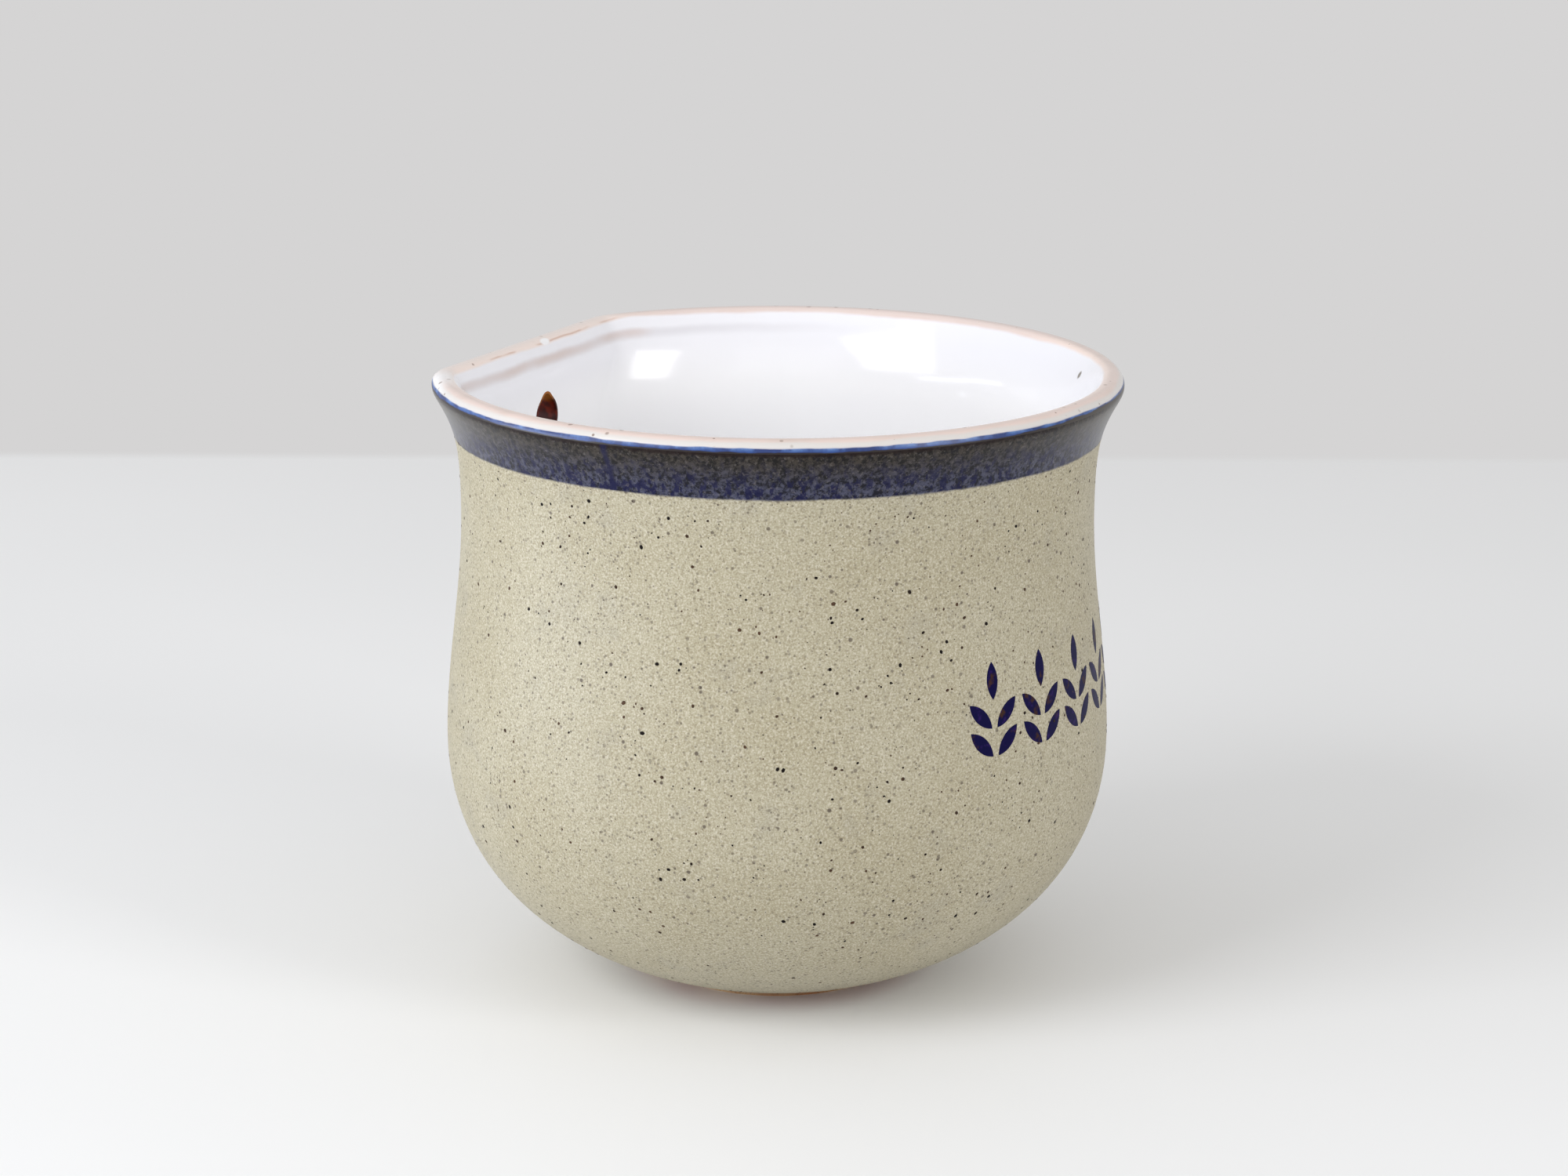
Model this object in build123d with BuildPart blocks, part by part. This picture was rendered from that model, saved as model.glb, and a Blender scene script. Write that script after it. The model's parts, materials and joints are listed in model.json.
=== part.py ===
from build123d import *
import math
import os

os.makedirs("parts", exist_ok=True)

# Outer shape of the pot from the foot up, all sizes in millimetres and degrees
foot_radius = 19.5
foot_height = 0.8
foot_rise = 14.0
belly_radius = 56.3
belly_height = 42.0
neck_draw_in = 2.9
neck_above_belly = 38.5
rim_overhang = 4.6
rim_above_neck = 24.0
lip_flare = 32.5

# How far the outline keeps its direction at the end of each curve
foot_pull = 13.3
belly_pull_below = 27.6
belly_pull_above = 12.7
neck_pull_below = 13.1
neck_pull_above = 13.7
lip_pull = 9.6

# Clay wall, floor and turned foot
wall = 4.2
lip_round = 2.0
lip_inner_round = 1.5
floor_thickness = 5.5
floor_radius = 16.0
recess_radius = 13.5
recess_depth = 1.2

# Flat back, which cuts into the round of the belly and of the rim
back_depth = 7.3
back_rim_depth = 6.8
back_corner = 9.0
back_flare_height = 7.5
back_pull_below = 2.6
back_pull_above = 4.9

# Hanging hole, round and drawn up to a narrower rounded top
hole_radius = 3.4
hole_drop = 12.9
hole_top_radius = 1.6
hole_top_rise = 2.5

# Coats on the clay, each level measured down from the top of the lip
glaze = 0.4
lip_drop = 1.0
lining_drop = 1.7
line_drop = 2.0
band_drop = 10.0
bare_foot = 2.0

# Stencilled sprigs on the front
sprig_count = 5
sprig_turn = 12.0
sprig_above_belly = 15.3
sprig_height = 15.4
leaf_length = 6.2
leaf_width = 2.3
leaf_slant = 45.0
bridge = 1.1

neck_radius = belly_radius - neck_draw_in
neck_height = belly_height + neck_above_belly
rim_radius = neck_radius + rim_overhang
pot_height = neck_height + rim_above_neck
back_flat = belly_radius - back_depth
back_rim = rim_radius - back_rim_depth
sprig_level = belly_height + sprig_above_belly
flare = math.radians(lip_flare)
reach = belly_radius + rim_radius


def lip_edge(outermost, inset, top):
    # Where the flare, moved inward by inset, meets the plane at height top
    unrounded = outermost - lip_round + lip_round * (1 + math.sin(flare)) / math.cos(flare)
    return unrounded - inset / math.cos(flare) - (pot_height - top) * math.tan(flare)


def flared(start, start_pull, end, end_pull):
    # A curve that leaves start straight up and reaches end at the slope of the flare
    start_handle = (start[0], start[1] + start_pull)
    end_handle = (end[0] - end_pull * math.sin(flare), end[1] - end_pull * math.cos(flare))
    Bezier(start, start_handle, end_handle, end)


def vessel(inset, base, base_rise, top):
    # The outer form of the pot moved inward by inset, solid, from its base to a level top
    rise = math.radians(base_rise)
    base_handle = (base[0] + foot_pull * math.cos(rise), base[1] + foot_pull * math.sin(rise))
    belly = (belly_radius - inset, belly_height)
    neck = (neck_radius - inset, neck_height)
    lip = (lip_edge(rim_radius, inset, top), top)
    back = (back_flat - inset, pot_height - back_flare_height)
    back_lip = (lip_edge(back_rim, inset, top), top)
    with BuildPart() as form:
        with BuildSketch(Plane.XZ):
            with BuildLine():
                Line((0, base[1]), base)
                Bezier(base, base_handle, (belly[0], belly[1] - belly_pull_below), belly)
                Bezier(belly, (belly[0], belly[1] + belly_pull_above), (neck[0], neck[1] - neck_pull_below), neck)
                flared(neck, neck_pull_above, lip, lip_pull)
                Polyline(lip, (0, top), (0, base[1]))
            make_face()
        revolve(axis=Axis.Z)
        with BuildSketch(Plane.YZ.offset(-reach)):
            with BuildLine():
                Polyline((-reach, top), (-reach, 0), (back[0], 0), back)
                flared(back, back_pull_below, back_lip, back_pull_above)
                Line(back_lip, (-reach, top))
            make_face()
        extrude(amount=2 * reach, mode=Mode.INTERSECT)
        bends = form.edges().filter_by(GeomType.LINE, reverse=True)
        fillet(bends.filter_by_position(Axis.Y, back[0] - wall, reach), back_corner - inset)
    return form.part


def outer_form(skin):
    # The outside of the pot under a skin of the given thickness, with its lip rounded
    with BuildPart() as form:
        add(vessel(skin, (foot_radius, foot_height + skin), foot_rise, pot_height - skin))
        fillet(form.faces().sort_by(Axis.Z)[-1].edges(), lip_round - skin)
    return form.part


def cavity(skin):
    # The hollow of the pot, widened into the clay by a skin of the given thickness
    return vessel(wall - skin, (floor_radius, floor_thickness - skin), 0, pot_height - skin)


def shell(outside, hollow, skin):
    # The outside less the hollow, with the inner edge of the lip rounded
    with BuildPart() as form:
        add(outside)
        add(hollow, mode=Mode.SUBTRACT)
        fillet(form.faces().sort_by(Axis.Z)[-1].inner_wires()[0].edges(), lip_inner_round - skin)
    return form.part


def hanging_hole(room):
    # A cutter through the back for the hanging hole, made larger all round by room
    with BuildPart() as cutter:
        with BuildSketch(Plane.XZ.shift_origin((0, 0, pot_height - hole_drop))):
            Circle(hole_radius + room)
            with Locations((0, hole_top_rise)):
                Circle(hole_top_radius + room)
            make_hull()
        extrude(amount=-reach)
    return cutter.part


def stencil():
    # Cutters for a row of sprigs, each with two pairs of slanted leaves and one upright leaf on top
    pair_step = (sprig_height - leaf_length) / 2
    with BuildSketch() as leaf:
        with BuildLine():
            ThreePointArc((0, 0), (leaf_width / 2, leaf_length / 2), (0, leaf_length))
            ThreePointArc((0, leaf_length), (-leaf_width / 2, leaf_length / 2), (0, 0))
        make_face()
    places = [Location((0, sprig_height / 2 - leaf_length))]
    for side in (-1, 1):
        for pair in range(2):
            foot = (side * bridge / 2, pair * pair_step - sprig_height / 2)
            places.append(Location(foot, -side * leaf_slant))
    with BuildPart() as cutter:
        for sprig in range(sprig_count):
            turn = math.radians(sprig_turn * (sprig - (sprig_count - 1) / 2))
            across = (math.cos(turn), math.sin(turn), 0)
            outward = (math.sin(turn), -math.cos(turn), 0)
            with BuildSketch(Plane((0, 0, sprig_level), x_dir=across, z_dir=outward)):
                with Locations(places):
                    add(leaf.sketch)
            extrude(amount=reach)
    return cutter.part


outside = outer_form(0)
outside_core = outer_form(glaze)
hollow = cavity(0)
hollow_core = cavity(glaze)
whole = shell(outside, hollow, 0)
core = shell(outside_core, hollow_core, glaze)
hole_cutter = hanging_hole(glaze)
sprig_cutter = stencil()
lip_plane = Plane.XY.offset(pot_height - lip_drop)
lining_plane = Plane.XY.offset(pot_height - lining_drop)
line_plane = Plane.XY.offset(pot_height - line_drop)
band_plane = Plane.XY.offset(pot_height - band_drop)
bare_plane = Plane.XY.offset(bare_foot)

# Every coat that lies on the outside, still in one
with BuildPart() as outer_coats:
    add(outside)
    add(outside_core, mode=Mode.SUBTRACT)
    split(bisect_by=lip_plane, keep=Keep.BOTTOM)
    add(hole_cutter, mode=Mode.SUBTRACT)

# Fired clay: the wall under the coats, and the bare foot with its turned recess
with BuildPart() as stoneware_body:
    add(outside)
    split(bisect_by=bare_plane, keep=Keep.BOTTOM)
    Cylinder(foot_radius, foot_height, align=(Align.CENTER, Align.CENTER, Align.MIN))
    add(core)
    add(hole_cutter, mode=Mode.SUBTRACT)
    Cylinder(recess_radius, recess_depth, align=(Align.CENTER, Align.CENTER, Align.MIN), mode=Mode.SUBTRACT)

# White glaze on the inside
with BuildPart() as lining_glaze:
    add(hollow_core)
    add(hollow, mode=Mode.SUBTRACT)
    split(bisect_by=lining_plane, keep=Keep.BOTTOM)
    add(hole_cutter, mode=Mode.SUBTRACT)

# Thin wiped glaze over the lip
with BuildPart() as lip_glaze:
    add(whole)
    split(bisect_by=lining_plane, keep=Keep.TOP)
    add(core, mode=Mode.SUBTRACT)
    add(outer_coats.part, mode=Mode.SUBTRACT)

# Blue line on the outer edge of the lip
with BuildPart() as rim_line:
    add(outer_coats.part)
    split(bisect_by=line_plane, keep=Keep.TOP)

# Blue-grey band under the line
with BuildPart() as rim_band:
    add(outer_coats.part)
    split(bisect_by=line_plane, keep=Keep.BOTTOM)
    split(bisect_by=band_plane, keep=Keep.TOP)

# Speckled glaze from the band down to the bare foot, with the sprigs left open
with BuildPart() as outer_glaze:
    add(outer_coats.part)
    split(bisect_by=band_plane, keep=Keep.BOTTOM)
    split(bisect_by=bare_plane, keep=Keep.TOP)
    add(sprig_cutter, mode=Mode.SUBTRACT)

# Cobalt sprigs that fill the openings in the speckled glaze
with BuildPart() as stencil_sprigs:
    add(outer_coats.part)
    add(sprig_cutter, mode=Mode.INTERSECT)

# Brown glaze on the wall of the hanging hole
with BuildPart() as hole_lining:
    add(hole_cutter)
    add(hanging_hole(0), mode=Mode.SUBTRACT)
    add(whole, mode=Mode.INTERSECT)

stoneware_body.part.label = "stoneware_body"
export_step(stoneware_body.part, "parts/stoneware_body.step")
lining_glaze.part.label = "lining_glaze"
export_step(lining_glaze.part, "parts/lining_glaze.step")
lip_glaze.part.label = "lip_glaze"
export_step(lip_glaze.part, "parts/lip_glaze.step")
rim_line.part.label = "rim_line"
export_step(rim_line.part, "parts/rim_line.step")
rim_band.part.label = "rim_band"
export_step(rim_band.part, "parts/rim_band.step")
outer_glaze.part.label = "outer_glaze"
export_step(outer_glaze.part, "parts/outer_glaze.step")
stencil_sprigs.part.label = "stencil_sprigs"
export_step(stencil_sprigs.part, "parts/stencil_sprigs.step")
hole_lining.part.label = "hole_lining"
export_step(hole_lining.part, "parts/hole_lining.step")
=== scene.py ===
import json
import math

import bpy
from mathutils import Matrix, Vector
from mathutils.geometry import interpolate_bezier


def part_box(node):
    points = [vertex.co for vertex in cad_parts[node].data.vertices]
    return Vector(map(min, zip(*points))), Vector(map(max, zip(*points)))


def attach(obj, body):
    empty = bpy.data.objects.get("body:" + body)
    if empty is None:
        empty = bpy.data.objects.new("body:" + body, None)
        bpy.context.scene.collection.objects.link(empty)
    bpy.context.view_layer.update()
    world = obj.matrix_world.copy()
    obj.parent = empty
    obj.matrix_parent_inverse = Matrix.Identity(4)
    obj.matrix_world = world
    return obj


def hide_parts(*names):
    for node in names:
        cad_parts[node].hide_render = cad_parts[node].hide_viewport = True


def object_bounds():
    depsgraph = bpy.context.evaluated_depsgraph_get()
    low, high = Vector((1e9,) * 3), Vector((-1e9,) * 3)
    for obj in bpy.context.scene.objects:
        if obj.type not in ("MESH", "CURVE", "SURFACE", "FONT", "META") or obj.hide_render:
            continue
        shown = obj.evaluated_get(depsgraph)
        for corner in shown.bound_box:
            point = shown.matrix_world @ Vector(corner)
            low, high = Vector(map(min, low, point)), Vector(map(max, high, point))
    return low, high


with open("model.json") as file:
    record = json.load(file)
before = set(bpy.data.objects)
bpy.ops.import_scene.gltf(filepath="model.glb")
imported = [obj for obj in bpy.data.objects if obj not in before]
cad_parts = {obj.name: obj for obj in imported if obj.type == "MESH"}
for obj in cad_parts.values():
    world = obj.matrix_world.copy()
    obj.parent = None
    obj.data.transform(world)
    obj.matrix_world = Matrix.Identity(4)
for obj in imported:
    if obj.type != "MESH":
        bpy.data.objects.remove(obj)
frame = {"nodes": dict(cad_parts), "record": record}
cadLow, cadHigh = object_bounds()
mm = 0.001
print("frame loaded, CAD box", cadLow, cadHigh)

potShape = {  # in millimetres and degrees
    "rimRadius": 58.0,
    "neckRadius": 53.4,
    "neckHeight": 80.5,
    "bellyRadius": 56.3,
    "bellyHeight": 42.0,
    "footRadius": 19.5,
    "footHeight": 0.8,
    "footRise": 14.0,
    "lipFlare": 32.5,
    "lipRound": 2.0,
    "lipInnerRound": 1.5,
    "lipSteps": 14,
    "wall": 4.2,
    "floorRadius": 16.0,
    "floorThickness": 5.5,
    "floorRings": (0.75, 0.5, 0.25),
    "backFlat": 49.0,
    "backRim": cadHigh.y / mm,
    "backCorner": 9.0,
    "backFlareHeight": 7.5,
    "coatThickness": 0.4,
    "rowGap": 0.1,
}
outlinePulls = {  # how far each stretch of the outline keeps its direction
    "foot": 13.3,
    "bellyBelow": 27.6,
    "bellyAbove": 12.7,
    "neckBelow": 13.1,
    "neckAbove": 13.7,
    "lip": 9.6,
    "backBelow": 2.6,
    "backAbove": 4.9,
    "steps": 34,
}
ringSteps = {"backSpan": 34.0, "backStep": 0.5, "frontStep": 1.25}  # degrees round the pot

topLevel = cadHigh.z / mm
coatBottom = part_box("outer_glaze")[0].z / mm
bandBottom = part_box("rim_band")[0].z / mm
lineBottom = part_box("rim_line")[0].z / mm
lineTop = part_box("rim_line")[1].z / mm
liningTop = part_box("lining_glaze")[1].z / mm
flare = math.radians(potShape["lipFlare"])


def stretch(start, startHandle, endHandle, end):
    corners = [Vector((r, z, 0)) for r, z in (start, startHandle, endHandle, end)]
    return [(p.x, p.y) for p in interpolate_bezier(*corners, outlinePulls["steps"])]


def flaredStretch(start, startPull, end, endPull):  # straight up, then out at the lip's slope
    startHandle = (start[0], start[1] + startPull)
    endHandle = (end[0] - endPull * math.sin(flare), end[1] - endPull * math.cos(flare))
    return stretch(start, startHandle, endHandle, end)


def lipEdge(outermost, inset):  # where the flare would meet the top if the lip had no rounding
    lipRound = potShape["lipRound"]
    return outermost - lipRound + (lipRound * (1 + math.sin(flare)) - inset) / math.cos(flare)


def sideOutline(inset, base, rise):  # radius and height from the base up to the unrounded lip
    pull = outlinePulls
    belly = (potShape["bellyRadius"] - inset, potShape["bellyHeight"])
    neck = (potShape["neckRadius"] - inset, potShape["neckHeight"])
    lip = (lipEdge(potShape["rimRadius"], inset), topLevel)
    baseHandle = (base[0] + pull["foot"] * math.cos(rise), base[1] + pull["foot"] * math.sin(rise))
    points = stretch(base, baseHandle, (belly[0], belly[1] - pull["bellyBelow"]), belly)
    points += stretch(
        belly, (belly[0], belly[1] + pull["bellyAbove"]), (neck[0], neck[1] - pull["neckBelow"]), neck
    )[1:]
    return points + flaredStretch(neck, pull["neckAbove"], lip, pull["lip"])[1:]


def backOutline(inset):  # distance of the flat back from the axis, and height
    bend = (potShape["backFlat"] - inset, topLevel - potShape["backFlareHeight"])
    lip = (lipEdge(potShape["backRim"], inset), topLevel)
    curve = flaredStretch(bend, outlinePulls["backBelow"], lip, outlinePulls["backAbove"])
    return [(bend[0], 0.0)] + curve


def valueAt(points, height):  # radius of an outline at one height
    for (r0, z0), (r1, z1) in zip(points, points[1:]):
        if z0 <= height <= z1:
            return r0 + (r1 - r0) * (height - z0) / max(z1 - z0, 1e-9)
    return points[-1][0]


def clayRows():  # rows of (radius, height, back, corner) up the outside, over the lip and down inside
    shape = potShape
    backShift = shape["backRim"] - shape["rimRadius"]
    innerCorner = shape["backCorner"] - shape["wall"]
    rows = []

    outside = sideOutline(0, (shape["footRadius"], shape["footHeight"]), math.radians(shape["footRise"]))
    outsideBack = backOutline(0)
    lipCentre = (shape["rimRadius"] - shape["lipRound"], topLevel - shape["lipRound"])
    arcStart = lipCentre[1] - shape["lipRound"] * math.sin(flare)
    for r, z in outside:
        if z < arcStart - shape["rowGap"]:
            rows.append((r, z, valueAt(outsideBack, z), shape["backCorner"]))
    lipSteps = shape["lipSteps"]
    for i in range(lipSteps + 1):
        a = -flare + (math.pi / 2 + flare) * i / lipSteps
        r = lipCentre[0] + shape["lipRound"] * math.cos(a)
        rows.append((r, lipCentre[1] + shape["lipRound"] * math.sin(a), r + backShift, shape["backCorner"]))
    outsideCount = len(rows)

    innerEdge = lipEdge(shape["rimRadius"], shape["wall"])
    innerRound = shape["lipInnerRound"]
    innerCentre = innerEdge + innerRound * (1 - math.sin(flare)) / math.cos(flare)
    for i in range(lipSteps + 1):
        a = math.pi / 2 + (math.pi / 2 - flare) * i / lipSteps
        r = innerCentre + innerRound * math.cos(a)
        z = topLevel - innerRound + innerRound * math.sin(a)
        rows.append((r, z, r + backShift, innerCorner))
    inside = sideOutline(shape["wall"], (shape["floorRadius"], shape["floorThickness"]), 0)
    insideBack = backOutline(shape["wall"])
    for r, z in reversed(inside):
        if z < rows[-1][1] - shape["rowGap"]:
            rows.append((r, z, valueAt(insideBack, z), innerCorner))
    for part in shape["floorRings"]:
        rows.append((shape["floorRadius"] * part, shape["floorThickness"], insideBack[0][0], innerCorner))
    return rows[:outsideCount], rows[outsideCount:]


def between(rows, low, high):  # the stretch of rows between two heights, cut exactly there
    cut = []
    for here, there in zip(rows, rows[1:]):
        if low <= here[1] <= high:
            cut.append(here)
        crossed = [h for h in (low, high) if min(here[1], there[1]) < h < max(here[1], there[1])]
        for h in sorted(crossed, reverse=here[1] > there[1]):
            t = (h - here[1]) / (there[1] - here[1])
            cut.append(tuple(a + (b - a) * t for a, b in zip(here, there)))
    if low <= rows[-1][1] <= high:
        cut.append(rows[-1])
    return cut


def ringReach(turn, radius, back, corner):  # how far a ring reaches, turn counted from the flat back
    turn = abs(turn)
    if back >= radius:
        return radius
    centreX = math.sqrt((radius - corner) ** 2 - (back - corner) ** 2)
    centreY = back - corner
    if turn >= math.atan2(centreX, centreY):
        return radius
    if turn <= math.atan2(centreX, back):
        return back / math.cos(turn)
    along = centreX * math.sin(turn) + centreY * math.cos(turn)
    return along + math.sqrt(corner**2 - centreX**2 - centreY**2 + along**2)


def ringTurns():  # directions round the pot, closer together over the flat back and its corners
    span, fine, coarse = ringSteps["backSpan"], ringSteps["backStep"], ringSteps["frontStep"]
    fineCount, coarseCount = round(2 * span / fine), round((360 - 2 * span) / coarse)
    turns = [-span + 2 * span * i / fineCount for i in range(fineCount)]
    turns += [span + (360 - 2 * span) * i / coarseCount for i in range(coarseCount)]
    return [math.radians((t + 180) % 360 - 180) for t in turns]


def sheetMesh(name, rows, closed=False):  # one skin through the rows, facing out of the clay
    turns = ringTurns()
    verts, faces, across = [], [], []
    travelled = 0.0
    for i, (r, z, back, corner) in enumerate(rows):
        if i:
            travelled += math.hypot(r - rows[i - 1][0], z - rows[i - 1][1])
        for turn in turns:
            reach = ringReach(turn, r, back, corner)
            verts.append((reach * math.sin(turn) * mm, reach * math.cos(turn) * mm, z * mm))
            across.append(travelled * mm)
    count = len(turns)
    for i in range(len(rows) - 1):
        for j in range(count):
            k = (j + 1) % count
            faces.append((i * count + j, (i + 1) * count + j, (i + 1) * count + k, i * count + k))
    if closed:  # the floor's middle
        verts.append((0, 0, rows[-1][1] * mm))
        across.append(travelled * mm)
        last = (len(rows) - 1) * count
        faces += [(last + j, len(verts) - 1, last + (j + 1) % count) for j in range(count)]
    mesh = bpy.data.meshes.new(name)
    mesh.from_pydata(verts, [], faces)
    mesh.attributes.new("across", "FLOAT", "POINT").data.foreach_set("value", across)
    mesh.polygons.foreach_set("use_smooth", [True] * len(faces))
    return mesh


def newObject(name, mesh):
    made = bpy.data.objects.new(name, mesh)
    bpy.context.scene.collection.objects.link(made)
    return made


def bake(obj, sharpAbove=40):  # modifiers become plain mesh
    bpy.context.view_layer.update()
    graph = bpy.context.evaluated_depsgraph_get()
    mesh = bpy.data.meshes.new_from_object(obj.evaluated_get(graph), depsgraph=graph)
    obj.modifiers.clear()
    obj.data = mesh
    mesh.polygons.foreach_set("use_smooth", [True] * len(mesh.polygons))
    mesh.set_sharp_from_angle(angle=math.radians(sharpAbove))
    return obj


def finishPiece(obj, material, slot, *nodes):
    obj.data.materials.clear()
    obj.data.materials.append(material)
    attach(obj, "root")
    if nodes:
        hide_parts(*nodes)
    print(obj.name, len(obj.data.polygons), "faces")


class Wire:  # a socket that can be reckoned with
    def __init__(self, tree, socket):
        self.tree, self.socket = tree, socket

    def make(self, kind, settings=None, sockets=None, out=0):
        node = self.tree.nodes.new(kind)
        for key, value in (settings or {}).items():
            setattr(node, key, value)
        for key, value in (sockets or {}).items():
            if isinstance(value, Wire):
                self.tree.links.new(value.socket, node.inputs[key])
            else:
                node.inputs[key].default_value = value
        return Wire(self.tree, node.outputs[out])

    def reckon(self, operation, *values):
        return self.make("ShaderNodeMath", {"operation": operation}, dict(enumerate(values)))

    def __add__(self, other):
        return self.reckon("ADD", self, other)

    def __sub__(self, other):
        return self.reckon("SUBTRACT", self, other)

    def __rsub__(self, other):
        return self.reckon("SUBTRACT", other, self)

    def __mul__(self, other):
        return self.reckon("MULTIPLY", self, other)

    def __truediv__(self, other):
        return self.reckon("DIVIDE", self, other)

    def __pow__(self, other):
        return self.reckon("POWER", self, other)

    __radd__, __rmul__ = __add__, __mul__

    def step(self, low, high):  # 0 below low, 1 above high, smooth between
        return self.make(
            "ShaderNodeMapRange",
            {"interpolation_type": "SMOOTHSTEP"},
            {"Value": self, "From Min": low, "From Max": high},
        )

    def blend(self, first, second):  # colours mixed by this mask
        return self.make("ShaderNodeMix", {"data_type": "RGBA"}, {0: self, 6: first, 7: second}, 2)

    def noise(self, scale, detail=2.0, rough=0.5, shift=(0, 0, 0)):  # from a place
        moved = self.make("ShaderNodeVectorMath", {"operation": "ADD"}, {0: self, 1: shift})
        return self.make(
            "ShaderNodeTexNoise", {}, {"Vector": moved, "Scale": scale, "Detail": detail, "Roughness": rough}
        )

    def part(self, axis):  # of a place, in millimetres
        return self.make("ShaderNodeSeparateXYZ", {}, {"Vector": self}, axis) / mm

    def stretched(self, x, y, z):
        return self.make("ShaderNodeVectorMath", {"operation": "MULTIPLY"}, {0: self, 1: (x, y, z)})

    def dots(self, scale, size, rarity, shift=(0, 0, 0)):  # round spots, and a random value for each
        moved = self.make("ShaderNodeVectorMath", {"operation": "ADD"}, {0: self, 1: shift})
        cells = {"Vector": moved, "Scale": scale}
        tone = self.make("ShaderNodeTexVoronoi", {}, cells, "Color")
        chance = self.make("ShaderNodeSeparateColor", {}, {"Color": tone}, "Red")
        strength = self.make("ShaderNodeSeparateColor", {}, {"Color": tone}, "Green")
        near = self.make("ShaderNodeTexVoronoi", {}, cells, "Distance") / (chance ** rarity * size + 0.01)
        return 1 - near.step(0.5, 1.0), strength

    def spot(self, centre, inner, outer, squeeze=(1, 1, 1)):  # round a place, sizes in millimetres
        away = self.make(
            "ShaderNodeVectorMath", {"operation": "SUBTRACT"}, {0: self, 1: tuple(c * mm for c in centre)}
        ).stretched(*squeeze)
        far = away.make("ShaderNodeVectorMath", {"operation": "LENGTH"}, {0: away}, "Value") / mm
        return 1 - far.step(inner, outer)

    def bump(self, height, strength=1.0):
        return self.make(
            "ShaderNodeBump", {}, {"Strength": strength, "Distance": 1.0, "Height": height}
        )


def colour(red, green, blue):  # screen values 0-255 to a linear colour
    def linear(v):
        v = v / 255
        return v / 12.92 if v <= 0.04045 else ((v + 0.055) / 1.055) ** 2.4
    return (linear(red), linear(green), linear(blue), 1.0)


def newFinish(name):
    material = bpy.data.materials.new(name)
    material.use_nodes = True
    tree = material.node_tree
    tree.nodes.clear()
    coordinates = tree.nodes.new("ShaderNodeTexCoord")
    return material, Wire(tree, coordinates.outputs["Object"])


def setSurface(material, shader):
    output = material.node_tree.nodes.new("ShaderNodeOutputMaterial")
    material.node_tree.links.new(shader.socket, output.inputs["Surface"])
    return material


coatLook = {
    "oatmeal": colour(172, 165, 141),
    "sandy": colour(167, 159, 133),
    "pale": colour(214, 208, 192),
    "tan": colour(132, 120, 94),
    "pepper": colour(90, 80, 65),
    "dot": colour(72, 58, 46),
    "greySmear": colour(146, 142, 132),
    "toasted": colour(150, 98, 58),
    "cloudScale": 45,
    "grainScale": 3000,
    "smearScale": 95,
    "fineDots": (1500, 0.5, 1.0),  # scale, size and rarity
    "coarseDots": (720, 0.32, 1.3),
    "roughness": 0.46,
    "ior": 1.55,
}


def coatColour(place):
    look = coatLook
    cloud = place.noise(look["cloudScale"], 3).step(0.35, 0.7)
    base = cloud.blend(look["oatmeal"], look["sandy"])
    grain = place.noise(look["grainScale"], 2, 0.75)
    base = (grain.step(0.5, 0.68) * 0.55).blend(base, look["pale"])
    base = ((1 - grain.step(0.32, 0.5)) * 0.7).blend(base, look["tan"])
    smear = place.noise(look["smearScale"], 3, 0.6, (0.3, 0.1, 0.2)).step(0.55, 0.7)
    base = (smear * 0.2).blend(base, look["greySmear"])
    fine, fineTone = place.dots(*look["fineDots"])
    base = (fine * (fineTone * 0.75 + 0.25) * (smear * 0.3 + 0.7)).blend(base, look["pepper"])
    coarse, coarseTone = place.dots(*look["coarseDots"], (0.05, 0.02, 0.07))
    return (coarse * (coarseTone * 0.8 + 0.1)).blend(base, look["dot"]), grain


bandLook = {
    "ink": colour(12, 9, 8),
    "brown": colour(60, 54, 48),
    "deepSlate": colour(16, 17, 30),
    "slate": colour(72, 74, 94),
    "fleck": colour(128, 122, 120),
    "cobalt": colour(6, 9, 56),
    "rustEdge": colour(24, 9, 8),
    "grainScale": 1000,
    "blotchScale": 850,
    "fleckScale": 1500,
    "fleckAmount": 0.28,
    "seamAt": 1.3,
    "fringe": 0.45,
    "roughness": 0.28,
    "ior": 1.25,
    "sheen": 0.4,
    "sheenRoughness": 0.35,
}


def bandColour(place):
    look = bandLook
    drawn = place.stretched(1, 1, 0.5)
    grain = place.noise(look["grainScale"], 3, 0.75, (0.1, 0.4, 0.2))
    blotch = drawn.noise(look["blotchScale"], 3, 0.6)
    height = place.part("Z") + drawn.noise(700, 2, 0.5, (0.4, 0, 0)) * 3 - 1.5
    low = 1 - height.step(bandBottom + 0.5, lineBottom - 0.8)
    upper = grain.step(0.38, 0.62).blend(look["ink"], look["brown"])
    lower = grain.step(0.38, 0.62).blend(look["deepSlate"], look["slate"])
    base = low.blend(upper, lower)
    base = (blotch.step(0.5, 0.58) * (low * 0.85 + 0.1) * 0.9).blend(base, look["cobalt"])
    flecks = place.noise(look["fleckScale"], 3, 0.7, (0.5, 0.1, 0.3)).step(0.56, 0.68)
    base = (flecks * look["fleckAmount"]).blend(base, look["fleck"])
    edge = (place.part("Z") + place.noise(900, 3, 0.6) * 1.2).step(lineBottom - 0.1, lineBottom + 0.35)
    base = (edge * (0.8 - place.part("X").step(-28, 0) * 0.6)).blend(base, look["rustEdge"])
    off = place.part("Y") + place.noise(500, 2) * 0.8 - 0.4 - look["seamAt"]
    seam = (1 - off.reckon("ABSOLUTE", off).step(0.15, 0.9)) * (1 - place.part("X").step(-1, 1))
    return (seam * 0.75).blend(base, look["cobalt"]), grain


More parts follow.
